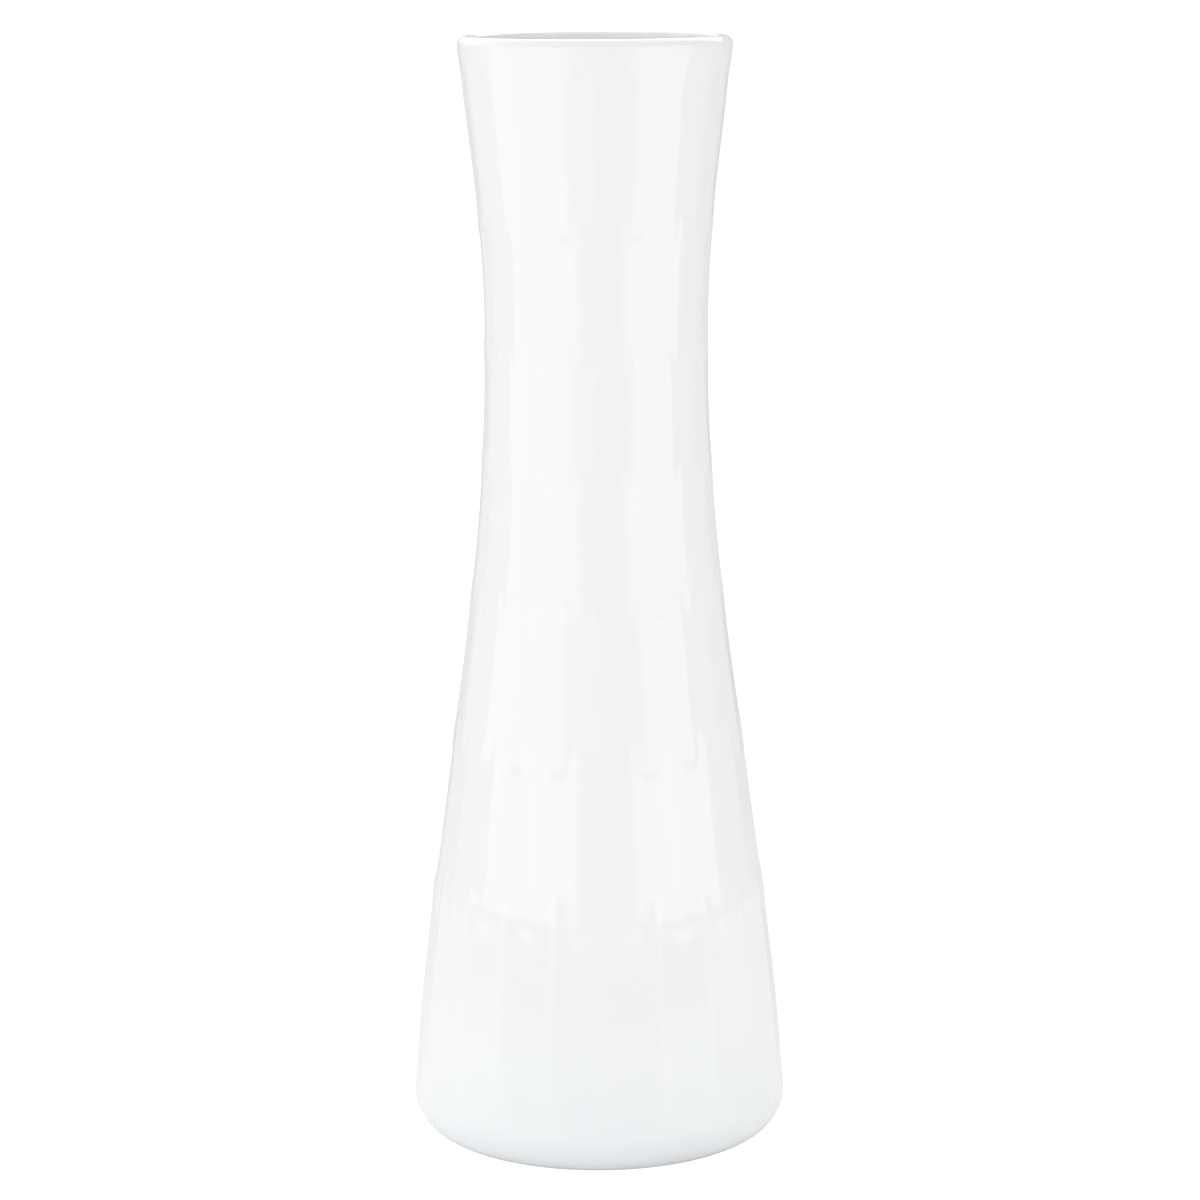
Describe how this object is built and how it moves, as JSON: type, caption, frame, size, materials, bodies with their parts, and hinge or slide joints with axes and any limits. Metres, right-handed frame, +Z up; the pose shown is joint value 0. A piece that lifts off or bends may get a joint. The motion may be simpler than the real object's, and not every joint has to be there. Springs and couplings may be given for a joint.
{
  "type": "flower vase",
  "caption": "Tall waisted flower vase in glazed white porcelain, with a flared lip, a rounded heel, a bare foot ring and staggered tiers of shallow facets.",
  "frame": {"origin": "on the vase's axis, on the plane its foot ring rests on", "axes": "+Z up along the vase's axis towards the mouth; +X and +Y both pass through a ridge of the bottom tier of facets, and the vase repeats every twentieth of a turn"},
  "size_m": [0.102, 0.102, 0.3],
  "materials": {
    "porcelain": "matte",
    "outer_glaze": "polished",
    "inner_glaze": "gloss"
  },
  "bodies": {
    "root": {"porcelain_body": "porcelain", "outer_glaze": "outer_glaze", "inner_glaze": "inner_glaze", "base_glaze": "outer_glaze"}
  },
  "joints": []
}
